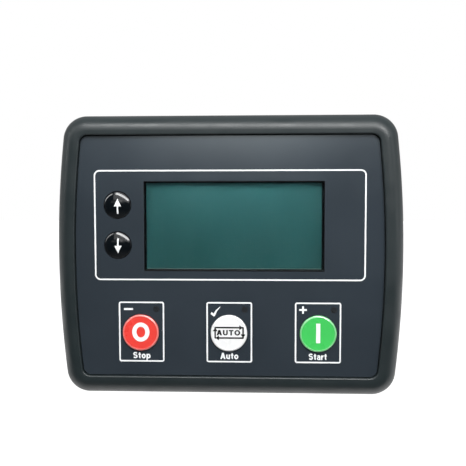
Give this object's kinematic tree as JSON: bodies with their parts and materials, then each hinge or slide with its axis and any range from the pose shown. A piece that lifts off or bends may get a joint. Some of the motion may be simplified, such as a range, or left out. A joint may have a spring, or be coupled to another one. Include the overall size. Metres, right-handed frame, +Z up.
{
  "type": "genset controller",
  "caption": "Flush-mounted generator controller with a rounded bezel, a wide display, sprung command buttons, a sealed panel flange and a stepped rear case with pluggable terminals.",
  "frame": {"origin": "centre of the panel cut-out, in the plane of the panel's front face, where the bezel's rim seats", "axes": "+X to the right and +Z up seen from the front; +Y goes back through the panel, and the fascia faces -Y"},
  "size_m": [0.14, 0.043, 0.113],
  "materials": {
    "bezel_plastic": "fine satin moulded texture",
    "case_plastic": "matt moulded texture",
    "overlay_film": "satin printed film",
    "gasket_foam": "closed-cell foam",
    "clear_plastic": "clear polished plastic",
    "frame_black": "matt black",
    "lcd_teal": "unlit blue-green liquid crystal",
    "diffuser_white": "matt white diffuser",
    "stop_red": "satin red",
    "auto_white": "satin white",
    "start_green": "satin green",
    "gloss_black": "polished black dome",
    "plunger_white": "natural nylon",
    "switch_black": "matt black",
    "led_lens": "milky lens",
    "board_green": "green solder resist",
    "screw_steel": "zinc-plated",
    "terminal_green": "satin green",
    "relay_blue": "smooth blue",
    "can_metal": "bare aluminium can",
    "socket_metal": "nickel-plated"
  },
  "bodies": {
    "housing": {"front_bezel": "bezel_plastic", "fascia_overlay": "overlay_film", "panel_gasket": "gasket_foam", "display_window": "clear_plastic", "lcd_frame": "frame_black", "lcd_glass": "lcd_teal", "backlight_panel": "diffuser_white", "stop_switch": "switch_black", "stop_light_pipe": "clear_plastic", "stop_led": "led_lens", "auto_switch": "switch_black", "auto_light_pipe": "clear_plastic", "auto_led": "led_lens", "start_switch": "switch_black", "start_light_pipe": "clear_plastic", "start_led": "led_lens", "up_switch": "switch_black", "down_switch": "switch_black", "display_board": "board_green", "main_board": "board_green", "board_link": "switch_black", "relay_1": "relay_blue", "relay_2": "relay_blue", "relay_3": "relay_blue", "capacitor_1": "can_metal", "capacitor_2": "can_metal", "processor": "switch_black", "battery_terminals_socket": "terminal_green", "battery_terminals_plug": "terminal_green", "output_terminals_socket": "terminal_green", "output_terminals_plug": "terminal_green", "sensor_terminals_socket": "terminal_green", "sensor_terminals_plug": "terminal_green", "generator_terminals_socket": "terminal_green", "generator_terminals_plug": "terminal_green", "usb_socket": "socket_metal", "rear_case": "case_plastic", "case_screw_1": "screw_steel", "case_screw_2": "screw_steel", "case_screw_3": "screw_steel", "case_screw_4": "screw_steel", "board_screw_1": "screw_steel", "board_screw_2": "screw_steel", "board_screw_3": "screw_steel", "board_screw_4": "screw_steel"},
    "stop_key": {"stop_button": "stop_red", "stop_plunger": "plunger_white"},
    "auto_key": {"auto_button": "auto_white", "auto_plunger": "plunger_white"},
    "start_key": {"start_button": "start_green", "start_plunger": "plunger_white"},
    "up_key": {"up_button": "gloss_black", "up_plunger": "plunger_white"},
    "down_key": {"down_button": "gloss_black", "down_plunger": "plunger_white"}
  },
  "joints": [
    {"name": "stop_press", "type": "slide", "parent": "housing", "child": "stop_key", "axis": [0, 1, 0], "range_m": [0, 0.0005], "stiffness_N_per_m": 3000},
    {"name": "auto_press", "type": "slide", "parent": "housing", "child": "auto_key", "axis": [0, 1, 0], "range_m": [0, 0.0005], "stiffness_N_per_m": 3000},
    {"name": "start_press", "type": "slide", "parent": "housing", "child": "start_key", "axis": [0, 1, 0], "range_m": [0, 0.0005], "stiffness_N_per_m": 3000},
    {"name": "up_press", "type": "slide", "parent": "housing", "child": "up_key", "axis": [0, 1, 0], "range_m": [0, 0.0005], "stiffness_N_per_m": 3000},
    {"name": "down_press", "type": "slide", "parent": "housing", "child": "down_key", "axis": [0, 1, 0], "range_m": [0, 0.0005], "stiffness_N_per_m": 3000}
  ]
}
